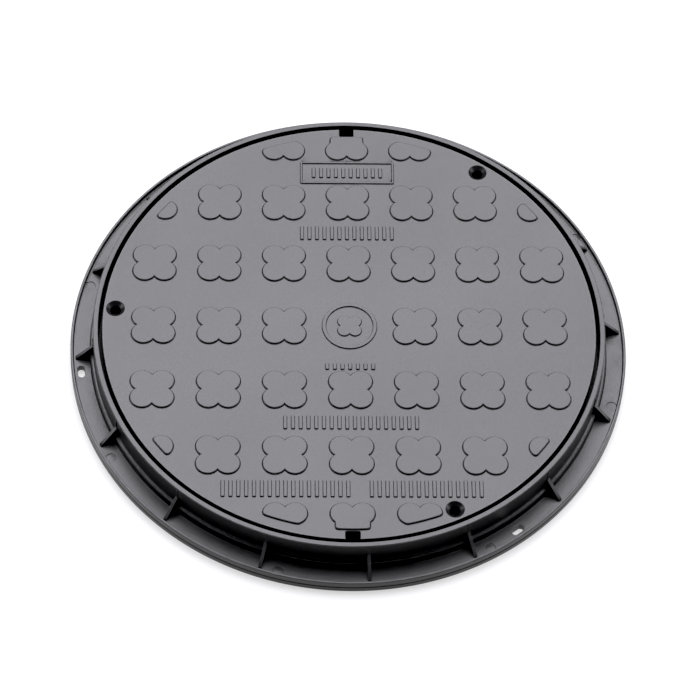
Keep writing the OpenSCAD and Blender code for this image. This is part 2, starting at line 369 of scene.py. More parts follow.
def bosses(low, top):
    """A boss round each screw, with a rounded lower edge."""
    levels = [(BOSS_R - 0.5, low), (BOSS_R - 0.15, low + 0.15), (BOSS_R, low + 0.5), (BOSS_R, top)]
    return at_screws(revolved(levels, BOSS_SIDES, closed=False))


def evaluated_mesh(piece):
    """A new mesh of a piece with its modifiers applied."""
    depsgraph = bpy.context.evaluated_depsgraph_get()
    return bpy.data.meshes.new_from_object(piece.evaluated_get(depsgraph))


def replace_mesh(piece, mesh):
    """Gives a piece a new mesh in place of its old one and its modifiers."""
    old = piece.data
    piece.modifiers.clear()
    piece.data = mesh
    bpy.data.meshes.remove(old)


def combine(piece, solid, operation):
    """Joins a solid to a piece or cuts it away, and applies the result."""
    tool = solid.object("tool")
    modifier = piece.modifiers.new("combine", "BOOLEAN")
    modifier.operation = operation
    modifier.solver = "MANIFOLD"
    modifier.object = tool
    mesh = evaluated_mesh(piece)
    if len(mesh.polygons) < 8:
        raise RuntimeError(f"{piece.name}: {operation} left nothing")
    replace_mesh(piece, mesh)
    old = tool.data
    bpy.data.objects.remove(tool)
    bpy.data.meshes.remove(old)


def finished(piece, material, body, node):
    """Smooth shading, the material, and the frame body and node that the piece stands for."""
    mesh = piece.data
    mesh.materials.clear()
    mesh.materials.append(material)
    mesh.polygons.foreach_set("use_smooth", [True] * len(mesh.polygons))
    mesh.set_sharp_from_angle(angle=SHARP_ANGLE)
    modifier = piece.modifiers.new("normals", "WEIGHTED_NORMAL")
    modifier.keep_sharp = True
    modifier.weight = 60
    name = mesh.name
    replace_mesh(piece, evaluated_mesh(piece))
    piece.data.name = name
    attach(piece, body)
    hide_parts(node)


def clear_piece(name):
    """Removes an earlier build of a piece, so that a button can be pressed again."""
    old = bpy.data.objects.get(name)
    if old is not None:
        bpy.data.objects.remove(old)


def build_at_screws(solid, name, material, node, body=None, turn=0.0):
    """One numbered piece at each screw, on its own body unless one body is named for all."""
    for i, (x, y) in enumerate(SCREW_PLACES):
        numbered, numbered_node = f"{name}_{i + 1}", f"{node}_{i + 1}"
        clear_piece(numbered)
        piece = solid.copied([(i * turn, np.array([x, y, 0]))]).object(numbered)
        finished(piece, material, body or numbered_node, numbered_node)


# ---- Shader expressions ----


class Number:
    """A socket that holds a number, with Python's operators."""

    def __init__(self, shader, socket):
        self.shader, self.socket = shader, socket

    def __add__(self, other):
        return self.shader.maths("ADD", self, other)

    __radd__ = __add__

    def __sub__(self, other):
        return self.shader.maths("SUBTRACT", self, other)

    def __rsub__(self, other):
        return self.shader.maths("SUBTRACT", other, self)

    def __mul__(self, other):
        return self.shader.maths("MULTIPLY", self, other)

    __rmul__ = __mul__


class Shader:
    """The node tree of one material."""

    def __init__(self, name, principled):
        old = bpy.data.materials.get(name)
        if old is not None:
            bpy.data.materials.remove(old)
        self.material = bpy.data.materials.new(name)
        self.material.use_nodes = True
        self.tree = self.material.node_tree
        self.tree.nodes.clear()
        self.surface = self.add("ShaderNodeBsdfPrincipled", None, principled)
        self.add("ShaderNodeOutputMaterial", None, {"Surface": self.surface})
        self.place = self.add("ShaderNodeTexCoord", output="Object")

    def add(self, kind, settings=None, inputs=None, output=0):
        """Adds a node: its settings first, then the values or links of its inputs."""
        made = self.tree.nodes.new(kind)
        for key, value in (settings or {}).items():
            setattr(made, key, value)
        self.fill(made, inputs or {})
        return Number(self, made.outputs[output]) if made.outputs else None

    def fill(self, node, inputs):
        """Links each input of a node that is given a socket, and sets the others."""
        for key, value in inputs.items():
            if isinstance(value, Number):
                self.tree.links.new(value.socket, node.inputs[key])
            else:
                node.inputs[key].default_value = value

    def done(self, base, rough, height, distance, normal=None):
        """Feeds the surface its colour, roughness and bump, and gives the material."""
        inputs = {"Base Color": base, "Normal": self.bump(height, distance, normal)}
        if rough is not None:
            inputs["Roughness"] = rough
        self.fill(self.surface.socket.node, inputs)
        return self.material

    def maths(self, operation, first, second):
        """A Math node on two numbers."""
        return self.add("ShaderNodeMath", {"operation": operation}, {0: first, 1: second})

    def noise(self, scale, detail=2.0, roughness=0.5, place=None, distortion=0.0):
        """Noise between 0 and 1. Scale is in repeats a metre."""
        inputs = {
            "Vector": place or self.place, "Scale": scale, "Detail": detail,
            "Roughness": roughness, "Distortion": distortion,
        }
        return self.add("ShaderNodeTexNoise", {"noise_dimensions": "3D"}, inputs)

    def streaks(self, scale, turn=0.0, roughness=0.5):
        """Noise drawn out along an axis. Scale holds repeats a metre along X, Y and Z."""
        return self.noise(1, 2, roughness, self.stretched(scale, turn))

    def step(self, value, low, high):
        """Rises smoothly from 0 at low to 1 at high."""
        return self.add(
            "ShaderNodeMapRange", {"interpolation_type": "SMOOTHSTEP"},
            {"Value": value, "From Min": low, "From Max": high, "To Min": 0.0, "To Max": 1.0},
        )

    def largest(self, first, second):
        """The larger of two numbers."""
        return self.maths("MAXIMUM", first, second)

    def stretched(self, scale, turn=0.0):
        """The place on the piece, turned about Z by degrees and then scaled."""
        turned = self.add(
            "ShaderNodeMapping", {"vector_type": "TEXTURE"},
            {"Vector": self.place, "Rotation": (0, 0, math.radians(turn))},
        )
        return self.add("ShaderNodeVectorMath", {"operation": "MULTIPLY"}, {0: turned, 1: scale})

    def axis(self, vector, name):
        """One part of a vector: X, Y or Z."""
        return self.add("ShaderNodeSeparateXYZ", None, {"Vector": vector}, name)

    def mix(self, factor, first, second):
        """A colour between two colours."""
        return self.add(
            "ShaderNodeMix", {"data_type": "RGBA"}, {0: factor, 6: first, 7: second}, 2
        )

    def bump(self, height, distance, normal=None):
        """A normal bent by a height field. Distance is in metres."""
        inputs = {"Height": height, "Distance": distance, "Strength": 1.0}
        if normal is not None:
            inputs["Normal"] = normal
        return self.add("ShaderNodeBump", None, inputs)


def shade(colour, share):
    """A colour made lighter or darker by a share, with full alpha."""
    return tuple(min(1.0, part * share) for part in colour[:3]) + (1.0,)


# ---- Finishes ----


def moulded_plastic(name, colour, finish, top_z, wear_low, wear_high, lip_r, lip_z, webs=None):
    """Satin moulded polypropylene with grain, flow mottling, worn edges and painted edge
    highlights, scuffs and dust.

    Heights and radii are in millimetres. Edges are worn between wear_low and wear_high. A painted
    highlight, the lighter worn colour standing in for light caught by rounded edges, lies on the
    lip at lip_r and lip_z and on the slopes between the two heights in webs.
    """
    shader = Shader(name, {"IOR": 1.5, "Specular IOR Level": finish.plastic_gloss})
    normal = shader.add("ShaderNodeNewGeometry", output="Normal")
    height, upward = shader.axis(shader.place, "Z"), shader.axis(normal, "Z")

    cloud = shader.noise(7, 3, 0.55)
    speck = shader.noise(620, 2, 0.6)
    flow = shader.noise(1, 3, 0.6, shader.stretched((9, 46, 20), 24), 0.4)
    tone = 0.5 + (cloud - 0.5) * 0.7 + (speck - 0.5) * 0.9 + (flow - 0.5) * 0.5

    proud = shader.step(height, wear_low * MM, wear_high * MM)
    turned = 1 - shader.step(upward, 0.86, 0.985)
    rubbed = 0.35 + 0.65 * shader.step(shader.noise(95, 3, 0.7), 0.3, 0.65)
    reach = shader.add(
        "ShaderNodeVectorMath", {"operation": "LENGTH"},
        {0: shader.stretched((1, 1, 0))}, "Value",
    )
    # Painted highlight: a lighter line on the rounded lip at lip_r and lip_z, standing in for the
    # light that the rounded edge catches.
    lip = shader.step(reach, (lip_r - 1.5) * MM, (lip_r - 0.9) * MM)
    lip = lip * shader.step(height, (lip_z - 0.9) * MM, (lip_z - 0.4) * MM)
    # Edge holds real wear on the raised edges together with the painted highlight on the lip and on
    # the sloped faces.
    edge = shader.largest(proud * turned, lip)
    if webs is not None:
        low, high = webs
        # Painted highlight: lighter sloped faces between the two heights, standing in for the
        # bright lines on the gusset tops and the rim step's rounded edge.
        slope_highlight = shader.step(upward, 0.2, 0.42) * (1 - shader.step(upward, 0.86, 0.95))
        band = shader.step(height, low * MM, (low + 1) * MM) * (
            1 - shader.step(height, (high - 1) * MM, high * MM)
        )
        edge = shader.largest(edge, slope_highlight * band)
    edge = edge * rubbed
    long_way = shader.streaks((26, 1500, 60), 31)
    cross_way = shader.streaks((30, 1300, 60), -52)
    patch = shader.step(shader.noise(15, 2), 0.5, 0.72)
    scratch = shader.largest(
        shader.step(long_way, 0.69, 0.76), shader.step(cross_way, 0.7, 0.77)
    )
    scuff = scratch * patch * shader.step(height, (top_z - 2.2) * MM, top_z * MM)
    dust = shader.step(shader.noise(34, 5, 0.65), 0.5, 0.8) * (
        1 - shader.step(height, (top_z - 16) * MM, (top_z - 0.4) * MM)
    ) * shader.step(upward, 0.3, 0.9)

    base = shader.mix(tone, shade(colour, 0.72), shade(colour, 1.3))
    # Worn colour on the edges: rubbed plastic where the edges are worn, and a painted highlight on
    # the lip and the sloped faces.
    base = shader.mix(edge * finish.edge_wear_and_highlight, base, shade(finish.worn_and_highlight_plastic, 1))
    base = shader.mix(scuff * 0.35, base, shade(finish.worn_and_highlight_plastic, 0.8))
    base = shader.mix(dust * finish.dust_amount, base, shade(finish.dust, 1))

    rough = finish.plastic_roughness + (cloud - 0.5) * 0.14 + (speck - 0.5) * 0.24
    rough = rough + scuff * 0.12 + dust * 0.16 + edge * 0.08

    fine = shader.noise(1500, 3, 0.6)
    pebble = shader.add(
        "ShaderNodeTexVoronoi", {"feature": "SMOOTH_F1"},
        {"Vector": shader.place, "Scale": 900.0, "Smoothness": 0.6}, "Distance",
    )
    wave = shader.bump(shader.noise(22, 2, 0.4), 0.00022)
    grain = fine * 0.55 + pebble * 0.6 - scuff * 0.5
    return shader.done(base, rough, grain, finish.grain_height, wave)


def moulded_rubber(name, colour):
    """Matt moulded rubber with a fine skin and a chalky bloom."""
    shader = Shader(name, {"IOR": 1.52, "Specular IOR Level": 0.35})
    skin, cloud = shader.noise(1100, 3, 0.6), shader.noise(26, 4, 0.6)
    bloom = shader.step(cloud, 0.48, 0.78)
    ring = shader.streaks((40, 40, 900))
    base = shader.mix(bloom * 0.35 + (skin - 0.5) * 0.2, shade(colour, 0.8), shade(colour, 2.1))
    rough = 0.68 + bloom * 0.16 + (ring - 0.5) * 0.12
    return shader.done(base, rough, skin * 0.7 + ring * 0.5, 0.00005)


def coated_steel(name, colour):
    """Dark zinc-nickel coating on steel, rubbed brighter in scattered patches."""
    shader = Shader(name, {"Metallic": 0.9, "Specular IOR Level": 0.5})
    cloud, speck = shader.noise(160, 4, 0.6), shader.noise(2400, 2, 0.6)
    turning = shader.streaks((120, 120, 5200))
    rubbed = shader.step(cloud, 0.56, 0.74)
    base = shader.mix(rubbed * 0.55 + (speck - 0.5) * 0.3, shade(colour, 0.8), shade(colour, 2.4))
    rough = 0.34 + (cloud - 0.5) * 0.22 + (speck - 0.5) * 0.12
    return shader.done(base, rough, turning * 0.6 + speck * 0.4, 0.00002)


def stainless_steel(name, colour):
    """Stamped stainless sheet with a brushed face."""
    shader = Shader(name, {"Metallic": 1.0})
    brush = shader.streaks((260, 5200, 260), 17, 0.6)
    stain, speck = shader.noise(210, 4, 0.6), shader.noise(2600, 2, 0.6)
    base = shader.mix(
        stain * 0.5 + (brush - 0.5) * 0.5 + speck * 0.25, shade(colour, 0.7), shade(colour, 1.25)
    )
    rough = 0.26 + (brush - 0.5) * 0.2 + (stain - 0.5) * 0.14
    return shader.done(base, rough, brush * 0.7 + speck * 0.3, 0.000012)


def turned_brass(name, colour):
    """Turned brass with tool lines and a light brown tarnish."""
    shader = Shader(name, {"Metallic": 1.0})
    lines = shader.streaks((90, 90, 6400))
    tarnish = shader.step(shader.noise(190, 4, 0.65), 0.42, 0.72)
    base = shader.mix(tarnish * 0.7 + (lines - 0.5) * 0.3, shade(colour, 1.1), shade(colour, 0.5))
    rough = 0.24 + tarnish * 0.2 + (lines - 0.5) * 0.12
    return shader.done(base, rough, lines, 0.000015)


def studio_floor(name, colour, glow):
    """Pale matt studio floor with a faint paper tooth, lit a little from below."""
    paper = {"Roughness": 0.95, "Specular IOR Level": 0.1}
    light = {"Emission Color": (1, 1, 1, 1), "Emission Strength": glow}
    shader = Shader(name, {**paper, **light})
    tooth = shader.noise(900, 2, 0.5)
    base = shader.mix(tooth, shade(colour, 0.99), shade(colour, 1.01))
    return shader.done(base, None, tooth, 0.00004)


# ---- Settings ----


def length_setting(precision=4, **settings):
    """A setting that is a length in metres."""
    return FloatProperty(unit="LENGTH", subtype="DISTANCE", precision=precision, **settings)


def colour_setting(**settings):
    """A setting that is a colour."""
    return FloatVectorProperty(subtype="COLOR", size=3, min=0, max=1, **settings)


def share_setting(**settings):
    """A setting between nothing and all."""
    return FloatProperty(subtype="FACTOR", min=0, max=1, **settings)


class AccessCoverSizes(bpy.types.PropertyGroup):
    """Sizes of the cover's raised detail and round edges."""

    lug_pitch_x: length_setting(
        name="Lug spacing X", description="Distance between tread lugs from left to right",
        default=0.060, min=0.05, max=0.09)
    lug_pitch_y: length_setting(
        name="Lug spacing Y", description="Distance between tread lugs from front to back",
        default=0.070, min=0.05, max=0.09)
    lobe_radius: length_setting(
        name="Lobe radius", description="Radius of each of the four lobes of a lug",
        default=0.011, min=0.009, max=0.012)
    lobe_offset: length_setting(
        name="Lobe offset", description="Distance of a lobe's centre from the middle of its lug",
        default=0.009, min=0.007, max=0.010)
    lug_edge: length_setting(
        name="Lug edge", description="Radius of the rounded upper edge of a lug",
        default=0.0007, min=0.0001, max=0.0009, precision=5)
    lug_foot: length_setting(
        name="Lug foot", description="Width of the small fillet at the foot of a lug",
        default=0.00035, min=0.00005, max=0.001, precision=5)
    mark_height: length_setting(
        name="Mark height", description="Height of the plain bars, border and ring",
        default=0.0014, min=0.0004, max=0.0018, precision=5)
    bar_width: length_setting(
        name="Bar width", description="Width of one plain bar",
        default=0.003, min=0.002, max=0.005)
    bar_pitch: length_setting(
        name="Bar spacing", description="Distance from one plain bar to the next",
        default=0.007, min=0.006, max=0.010)
    line_width: length_setting(
        name="Line width", description="Width of the raised line of the border",
        default=0.0016, min=0.001, max=0.003, precision=5)
    ring_radius: length_setting(
        name="Ring radius", description="Outer radius of the ring in the middle of the cover",
        default=0.025, min=0.02, max=0.028)
    notch_width: length_setting(
        name="Notch width", description="Width of each lifting notch",
        default=0.013, min=0.01, max=0.018)
    notch_depth: length_setting(
        name="Notch depth", description="Depth of each lifting notch, inward from the edge",
        default=0.008, min=0.0065, max=0.012)
    rib_thickness: length_setting(
        name="Rib thickness", description="Thickness of the ribs under the plate",
        default=0.003, min=0.002, max=0.004)


class AccessFrameSizes(bpy.types.PropertyGroup):
    """Sizes of the ring frame's gussets, slots and round edges."""

    gusset_thickness: length_setting(
        name="Gusset thickness", description="Thickness of each gusset",
        default=0.0034, min=0.002, max=0.005, precision=5)
    gusset_height: length_setting(
        name="Gusset top", description="Height of a gusset's top above the ground",
        default=0.028, min=0.022, max=0.034)
    gusset_reach: length_setting(
        name="Gusset reach", description="How far a gusset reaches out over the flange",
        default=0.014, min=0.008, max=0.015)
    edge: length_setting(
        name="Moulded edge", description="Radius of the small moulded edges",
        default=0.0005, min=0.0001, max=0.0008, precision=5)
    slot_length: length_setting(
        name="Slot length", description="Length of a fixing slot along the flange",
        default=0.0124, min=0.008, max=0.016)
    slot_width: length_setting(
        name="Slot width", description="Width of a fixing slot",
        default=0.0065, min=0.005, max=0.008)
    kerb_groove: length_setting(
        name="Kerb groove", description="Depth of the line moulded round the outside of the kerb",
        default=0.0006, min=0.0001, max=0.001, precision=5)


class AccessFixingSizes(bpy.types.PropertyGroup):
    """Sizes of the seal, screws, washers and inserts."""

    thread_pitch: length_setting(
        name="Thread pitch", description="Rise of the thread in one turn",
        default=0.0008, min=0.0004, max=0.001, precision=5)
    thread_depth: length_setting(
        name="Thread depth", description="Depth of the thread's groove",
        default=0.00043, min=0.0002, max=0.0005, precision=5)
    key_width: length_setting(
        name="Key width", description="Width across the flats of the key socket",
        default=0.004, min=0.003, max=0.005)
    knurl_depth: length_setting(
        name="Knurl depth", description="Depth of the knurling on a screw's head",
        default=0.00016, min=0.00005, max=0.0003, precision=5)
    insert_knurls: IntProperty(
        name="Insert knurls", description="Number of ridges round a brass insert",
        default=24, min=12, max=48)
    seal_lip: length_setting(
        name="Seal lip", description="Depth of the grooves between the seal's lips",
        default=0.0006, min=0.0002, max=0.001, precision=5)


class AccessFinishes(bpy.types.PropertyGroup):
    """Colours and surface settings of the finishes."""

    frame_plastic: colour_setting(
        name="Frame plastic", description="Colour of the frame's moulding",
        default=(0.0068, 0.0068, 0.0074))
    cover_plastic: colour_setting(
        name="Cover plastic", description="Colour of the cover's moulding",
        default=(0.0080, 0.0080, 0.0087))
    # Also the colour of the painted highlight lines on the lid's lip, the kerb top, the gusset tops
    # and the rim step.
    worn_and_highlight_plastic: colour_setting(
        name="Worn plastic", description="Colour of rubbed plastic edges and scuffs",
        default=(0.13, 0.13, 0.134))
    seal_rubber: colour_setting(
        name="Seal rubber", description="Colour of the seal",
        default=(0.014, 0.014, 0.014))
    screw_steel: colour_setting(
        name="Screw steel", description="Colour of the screws' coating",
        default=(0.085, 0.086, 0.09))
    washer_steel: colour_setting(
        name="Washer steel", description="Colour of the washers",
        default=(0.42, 0.42, 0.43))
    insert_brass: colour_setting(
        name="Insert brass", description="Colour of the threaded inserts",
        default=(0.60, 0.42, 0.16))
    dust: colour_setting(
        name="Dust", description="Colour of the dust in the lower parts",
        default=(0.20, 0.19, 0.18))
    dust_amount: share_setting(
        name="Dust amount", description="How much dust lies in the lower parts",
        default=0.08)
    # Share of the worn colour on raised edges; it also sets how strong the painted highlight on the
    # lip and the sloped faces is.
    edge_wear_and_highlight: share_setting(
        name="Edge wear", description="How much the raised edges are rubbed",
        default=0.42)
    plastic_roughness: FloatProperty(
        name="Plastic roughness", description="Roughness of the moulded plastic",
        default=0.34, min=0.1, max=0.9, subtype="FACTOR")
    plastic_gloss: share_setting(
        name="Plastic gloss", description="Specular level of the moulded plastic",
        default=0.5)
    grain_height: length_setting(
        name="Grain height", description="Height of the moulded grain",
        default=0.00007, min=0, max=0.0002, precision=6)


class AccessStage(bpy.types.PropertyGroup):
    """The floor, the lights and the camera."""

    floor_colour: colour_setting(
        name="Floor", description="Colour of the floor", default=(0.36, 0.36, 0.36))
    floor_glow: FloatProperty(
        name="Floor glow", description="Brightness of the light that comes up through the floor",
        default=0.60, min=0)
    key_radiance: FloatProperty(
        name="Softbox", description="Brightness of the big softbox", default=7.0, min=0)
    side_radiance: FloatProperty(
        name="Side lights", description="Brightness of the two low side lights", default=4.0, min=0)
    world_radiance: FloatProperty(
        name="Surroundings", description="Brightness of the plain surroundings",
        default=0.03, min=0)
    black_point: FloatProperty(
        name="Black point", description="Brightness that is shown as black",
        default=0.005, min=0, max=0.05, precision=4)
    lens: FloatProperty(
        name="Lens", description="Focal length in millimetres", default=180.3, min=20,
        subtype="DISTANCE_CAMERA")
    distance: length_setting(
        name="Camera distance", description="Distance from the camera to the cover",
        default=3.207, min=0.5)
    elevation: FloatProperty(
        name="Elevation", description="Camera's angle above the ground",
        default=math.radians(56.21), subtype="ANGLE")
    azimuth: FloatProperty(
        name="Azimuth", description="Camera's angle round the object from the front",
        default=math.radians(-3.33), subtype="ANGLE")
    roll: FloatProperty(
        name="Roll", description="Turn of the camera about its own view",
        default=math.radians(3.04), subtype="ANGLE")


GROUPS = {
    "access_cover_sizes": AccessCoverSizes,
    "access_frame_sizes": AccessFrameSizes,
    "access_fixing_sizes": AccessFixingSizes,
    "access_finishes": AccessFinishes,
    "access_stage": AccessStage,
}


# ---- Cover ----


def raised(outline, height, edge, foot, flare=0.5):
    """Solid of a raised pad with a filleted foot and a round upper edge.

    outline(inset) gives the pad's points, moved inwards by inset.
    """
    base, out, draft = PLATE_Z, foot + flare, 0.06
    levels = [
        (-out, base - SUNK),
        (-out, base),
        (-flare - foot * 0.45, base + foot * 0.16),
        (-flare * 0.95 - foot * 0.12, base + foot * 0.5),
        (-flare * 0.8, base + foot),
        (draft, base + height - edge),
        (draft + edge * 0.134, base + height - edge * 0.5),
        (draft + edge * 0.5, base + height - edge * 0.134),
        (draft + edge, base + height),
    ]
    return Solid().add([at_height(outline(inset), z) for inset, z in levels])


def ridge(outline, width, height, edge):
    """Solid of a raised line of some width. outline(inset) gives its points."""
    base, foot, flare, draft = PLATE_Z, 0.25, 0.3, 0.03
    levels = [
        (-flare - foot, base - SUNK),
        (-flare - foot, base),
        (-flare - foot * 0.2, base + foot * 0.5),
        (draft, base + height - edge),
        (draft + edge * 0.29, base + height - edge * 0.29),
        (draft + edge, base + height),
    ]
    inner = [(width - inset, z) for inset, z in reversed(levels)]
    return Solid().add([at_height(outline(inset), z) for inset, z in levels + inner], True)


def lug_distance(col, row, sizes):
    """Distance field of one lug, the point that its rays start from, and whether it is whole."""
    pitch_x, pitch_y = sizes.lug_pitch_x / MM, sizes.lug_pitch_y / MM
    radius, offset = sizes.lobe_radius / MM, sizes.lobe_offset / MM
    middle = np.array([col * pitch_x, row * pitch_y])
    square = SQUARE * offset + middle
    kept = [lobe for lobe in square if np.linalg.norm(lobe) < FIELD_R - 0.5]
    if not kept:
        return None
    away = -1 if row < 0 else 1
    whole = len(kept) == 4
    tongue, start = None, middle
    if len(kept) == 2:
        waist, waist_y = NOTCH_WAIST if col == 0 else SIDE_WAIST
        shoulder, reach = offset + radius, 2 * offset
        half = [(shoulder, -offset), (shoulder, -offset + 2), (waist, waist_y), (waist, reach)]
        corners = half + [(-x, y) for x, y in reversed(half)]
        tongue = np.array([(x, y * away) for x, y in corners]) + middle
        start = middle - (0, 4 * away)
    elif len(kept) == 1:
        start = kept[0] * (1 - 4.5 / np.linalg.norm(kept[0]))

    def distance(points):
        found = np.min([distance_to_circle(points, lobe, radius) for lobe in kept], 0)
        if whole:
            return np.minimum(found, distance_to_polygon(points, square))
        if tongue is not None:
            found = np.minimum(found, distance_to_polygon(points, tongue))
        return smooth_largest(found, distance_to_circle(points, (0, 0), FIELD_R), 3.0)

    return distance, start, whole


def tread(sizes):
    """Every tread lug, whole or trimmed to the field, except in the middle of the cover."""
    height = LUG_Z - PLATE_Z
    edge, foot = sizes.lug_edge / MM, sizes.lug_foot / MM
    columns = int(COVER_R // (sizes.lug_pitch_x / MM))
    rows = int(COVER_R // (sizes.lug_pitch_y / MM))
    turns = angles(96)
    lugs, whole_lug = [], None
    for row in range(-rows, rows + 1):
        for col in range(-columns, columns + 1):
            found = None if (col, row) == (0, 0) else lug_distance(col, row, sizes)
            if found is None:
                continue
            distance, start, whole = found
            if whole and whole_lug is not None:
                pattern, place = whole_lug
                lugs.append(pattern.copied([(0, np.array([*(start - place), 0]))]))
                continue
            lug = raised(
                lambda inset: outline_at(distance, start, turns, -inset, LUG_REACH),
                height, edge, foot,
            )
            if whole:
                whole_lug = (lug, start)
            lugs.append(lug)
    return lugs[0].joined(*lugs[1:])


def bar_row(x_low, x_high, y_middle, height, sizes):
    """A row of plain upright bars between two X positions."""
    width, pitch = sizes.bar_width / MM, sizes.bar_pitch / MM
    count = math.floor((x_high - x_low - width) / pitch + 1e-6)
    first = (x_low + x_high - count * pitch) / 2
    bar = raised(
        lambda inset: rounded_rectangle(width / 2, height / 2, 0.5, inset),
        sizes.mark_height / MM, 0.3, 0.25, 0.25,
    )
    moves = [(0, np.array([first + i * pitch, y_middle, 0])) for i in range(count + 1)]
    return bar.copied(moves)


def marks(sizes):
    """The plain marks: rows of bars, one of them in a border, and a ring round a small lug."""
    pitch, ring_r = sizes.lug_pitch_y / MM, sizes.ring_radius / MM
    line, height = sizes.line_width / MM, sizes.mark_height / MM
    rows = [
        bar_row(left, right, row * pitch, tall, sizes) for left, right, row, tall in BAR_ROWS
    ]
    rows.insert(1, bar_row(-24, 24, -ring_r - RING_ROW_GAP, 6.5, sizes))
    border = ridge(
        lambda inset: rounded_rectangle(*BORDER, inset) + (0, BORDER_ROW * pitch),
        line, height, 0.3,
    )
    ring = ridge(lambda inset: circle(ring_r - inset, 96), 2 * line, height, 0.35)
    radius, offset = sizes.lobe_radius / MM, sizes.lobe_offset / MM
    square = SQUARE * offset * SMALL_LUG

    def small_distance(points):
        lobes = [distance_to_circle(points, lobe, radius * SMALL_LUG) for lobe in square]
        return np.minimum(np.min(lobes, 0), distance_to_polygon(points, square))

    small = raised(
        lambda inset: outline_at(small_distance, np.zeros(2), angles(64), -inset, LUG_REACH / 2),
        height, 0.35, 0.25, 0.3,
    )
    return rows[0].joined(*rows[1:], border, ring, small)


def cover_shell():
    """Plate and skirt of the cover, with round edges."""
    inner = COVER_R - SKIRT_T
    profile = filleted(
        [
            (30, PLATE_Z - PLATE_T, 0),
            (inner, PLATE_Z - PLATE_T, 1.2),
            (inner, SKIRT_Z, 0.5),
            (COVER_R, SKIRT_Z, 0.6),
            (COVER_R, PLATE_Z, 0.5),
            (30, PLATE_Z, 0),
        ],
        5,
    )
    return revolved(profile, 288, closed=False)


def rib_rings(thickness):
    """Rings of ribs and the hub under the plate."""
    half = thickness / 2
    rings = []
    for radius in [HUB_R - half] + [i * RIB_RING_PITCH for i in range(1, 5)]:
        inner, outer = radius - half, radius + half
        profile = filleted(
            [
                (inner, RIB_TOP_Z, 0), (inner, RIB_LOW_Z, 0.5),
                (outer, RIB_LOW_Z, 0.5), (outer, RIB_TOP_Z, 0),
            ]
        )
        rings.append(revolved(profile, 192 if radius > HUB_R else 64))
    return rings[0].joined(*rings[1:])


def web(r_in, r_out, low, top, thickness, edge):
    """One upright web on the X axis, square at both ends."""
    corners = np.array([(r_in, low), (r_out, low), (r_out, top), (r_in, top)], float)
    return beam(corners, thickness, edge)


def notch_wall(sizes):
    """Wall behind and beside a lifting notch, made on the X axis."""
    depth, width, wall = sizes.notch_depth / MM, sizes.notch_width / MM, 3.0
    levels = (0.5, SKIRT_Z), (0.15, SKIRT_Z + 0.15), (0, SKIRT_Z + 0.5), (0, RIB_TOP_Z)
    middle = COVER_R - depth - wall + depth / 2
    return prism(depth / 2, width / 2 + wall, 1.5, levels, middle)


def screw_holes():
    """What is cut away for the screws: washer seats, bores and wide round-edged mouths."""
    mouth_z = PLATE_Z - (MOUTH_R - BORE_R)
    levels = [
        (SHANK_HOLE_R + 0.3, BOSS_Z - 1),
        (SHANK_HOLE_R + 0.3, BOSS_Z),
        (SHANK_HOLE_R, BOSS_Z + 0.3),
        (SHANK_HOLE_R, SEAT_Z - 0.2),
        (SHANK_HOLE_R + 0.2, SEAT_Z),
        (BORE_R, SEAT_Z),
        (BORE_R, mouth_z - 0.25),
        (BORE_R + 0.08, mouth_z),
        (BORE_R + 0.3, mouth_z + 0.25),
        (MOUTH_R - 0.45, PLATE_Z - 0.5),
        (MOUTH_R - 0.17, PLATE_Z - 0.24),
        (MOUTH_R + 0.12, PLATE_Z - 0.07),
        (MOUTH_R + 0.45, PLATE_Z),
        (MOUTH_R + 0.45, LUG_Z + 1),
    ]
    return at_screws(revolved(levels, BOSS_SIDES, closed=False))


def notch_hole(sizes):
    """What is cut away for one lifting notch, made on the X axis."""
    depth, half_length = sizes.notch_depth / MM, (sizes.notch_depth / MM + 4) / 2
    levels = (
        (0, SKIRT_Z - 1), (0, PLATE_Z - 0.8), (-0.1, PLATE_Z - 0.42), (-0.3, PLATE_Z - 0.14),
        (-0.6, PLATE_Z), (-0.6, LUG_Z + 1),
    )
    middle = COVER_R - depth + half_length
    return prism(half_length, sizes.notch_width / MM / 2, 0.8, levels, middle)


class MESH_OT_access_cover_lid(bpy.types.Operator):
    """Build the cover with its tread lugs, plain marks, ribs, notches and screw holes"""

    bl_idname = "mesh.access_cover_lid"
    bl_label = "Cover"

    def execute(self, context):
        sizes, finish = context.scene.access_cover_sizes, context.scene.access_finishes
        clear_piece("cover_moulding")
        thickness = sizes.rib_thickness / MM
        ribs = RIB_LOW_Z, RIB_TOP_Z, thickness, 0.45
        outer = web(RIB_RING_PITCH, COVER_R - SKIRT_T + 1, *ribs)
        inner = web(HUB_R - 1, RIB_RING_PITCH - 0.8, *ribs)
        walls = around(notch_wall(sizes), 2, NOTCH_START)
        notches = around(notch_hole(sizes), 2, NOTCH_START)
        piece = cover_shell().object("cover_moulding")
        for solid in (
            tread(sizes).joined(marks(sizes)), rib_rings(thickness), around(outer, 24, 0),
            around(inner, 8, 0), bosses(BOSS_Z, RIB_TOP_Z).joined(walls),
        ):
            combine(piece, solid, "UNION")
        combine(piece, screw_holes().joined(notches), "DIFFERENCE")
        # The lid's rounded outer edge gets the painted highlight line; the lug edges get real wear.
        plastic = moulded_plastic(
            "cover_plastic", finish.cover_plastic, finish,
            LUG_Z, PLATE_Z + 0.5, LUG_Z - 0.3, COVER_R, PLATE_Z,
        )
        finished(piece, plastic, "cover", "cover")
        return {"FINISHED"}


# ---- Frame ----


